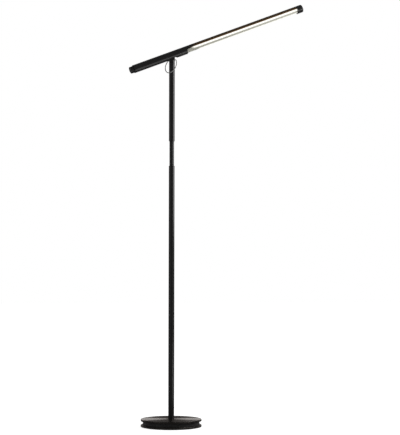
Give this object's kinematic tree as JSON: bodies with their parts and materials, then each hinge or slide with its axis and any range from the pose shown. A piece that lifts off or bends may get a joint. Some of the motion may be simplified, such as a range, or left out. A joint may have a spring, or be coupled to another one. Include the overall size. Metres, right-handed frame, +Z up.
{
  "type": "pharmacy floor lamp",
  "caption": "Slim floor lamp: a tubular light head that tilts and swivels on a telescopic pole, with a rotary dimmer, a pull ring and a heavy round spool base.",
  "frame": {"origin": "centre of the base's underside, on the floor", "axes": "+Z up along the pole; the long end of the head points along +X at rest and the tilt axis is along Y"},
  "size_m": [0.6353, 0.205, 1.4699],
  "materials": {
    "pad_rubber": "matt black sheet",
    "base_turned": "black, finely turned and satin lacquered",
    "base_iron": "black paint over cast iron",
    "zinc_steel": "bright zinc plate",
    "stud_steel": "turned steel",
    "gland_rubber": "moulded black rubber",
    "tube_black": "semi-matt black powder coat",
    "inner_black": "satin black, slightly rubbed by the slide",
    "bush_nylon": "black nylon",
    "slide_nylon": "natural nylon",
    "ring_rubber": "black rubber",
    "black_steel": "black oxide steel",
    "spring_steel": "blued spring steel",
    "ring_wire": "grey steel wire",
    "head_black": "semi-matt black coat on drawn tube",
    "machined_alloy": "machined",
    "friction_plastic": "filled friction plastic",
    "tray_plastic": "black moulding",
    "board_green": "green circuit board",
    "parts_dark": "moulded component bodies",
    "pot_metal": "stamped housing",
    "carrier_alloy": "clear anodised extrusion",
    "board_white": "white solder mask",
    "led_phosphor": "warm phosphor, lit",
    "lens_clear": "clear lens, lightly frosted"
  },
  "bodies": {
    "base": {"foot_pad": "pad_rubber", "base_plate": "base_turned", "base_weight": "base_iron", "base_cap": "base_turned", "base_screws": "zinc_steel", "foot_plug": "stud_steel", "pole_washer": "zinc_steel", "pole_nut": "zinc_steel", "cord_gland": "gland_rubber", "lower_tube": "tube_black", "guide_bush": "bush_nylon"},
    "stem": {"inner_tube": "inner_black", "friction_plug": "slide_nylon", "friction_rings": "ring_rubber", "tube_reducer": "stud_steel", "tube_screw": "black_steel", "upper_tube": "tube_black", "top_plug": "tube_black", "stop_pin": "stud_steel"},
    "yoke": {"knuckle": "tube_black", "slide_washer": "slide_nylon", "swivel_spring": "spring_steel", "swivel_nut": "zinc_steel"},
    "ring": {"pull_ring": "ring_wire"},
    "head": {"head_tube": "head_black", "clevis": "machined_alloy", "pivot_screw": "zinc_steel", "pivot_spring": "spring_steel", "pivot_nut": "zinc_steel", "friction_washers": "friction_plastic", "driver_tray": "tray_plastic", "driver_board": "board_green", "driver_parts": "parts_dark", "rear_plug": "tray_plastic", "dimmer_pot": "pot_metal", "pot_nut": "zinc_steel", "led_carrier": "carrier_alloy", "led_board": "board_white", "leds": "led_phosphor", "lens": "lens_clear", "rear_bulkhead": "tray_plastic", "front_bulkhead": "tray_plastic", "front_cap": "head_black", "cap_screw": "black_steel"},
    "knob": {"pot_shaft": "stud_steel", "dimmer_knob": "head_black", "knob_screw": "black_steel"}
  },
  "joints": [
    {"name": "height_slide", "type": "slide", "parent": "base", "child": "stem", "axis": [0, 0, 1], "range_m": [-0.0845, 0.165]},
    {"name": "head_swivel", "type": "hinge", "parent": "stem", "child": "yoke", "pos_m": [0, 0, 1.234], "axis": [0, 0, 1], "range_deg": [-165, 165]},
    {"name": "head_tilt", "type": "hinge", "parent": "yoke", "child": "head", "pos_m": [0, 0, 1.261], "axis": [0, -1, 0], "range_deg": [-57.3, 12.7]},
    {"name": "ring_swing", "type": "hinge", "parent": "yoke", "child": "ring", "pos_m": [0, 0, 1.2435], "axis": [-0.4695, 0.8829, 0], "range_deg": [0, 30]},
    {"name": "dimmer_turn", "type": "hinge", "parent": "head", "child": "knob", "pos_m": [-0.14147, 0, 1.20298], "axis": [-0.9252, 0, -0.3795], "range_deg": [0, 300]}
  ]
}
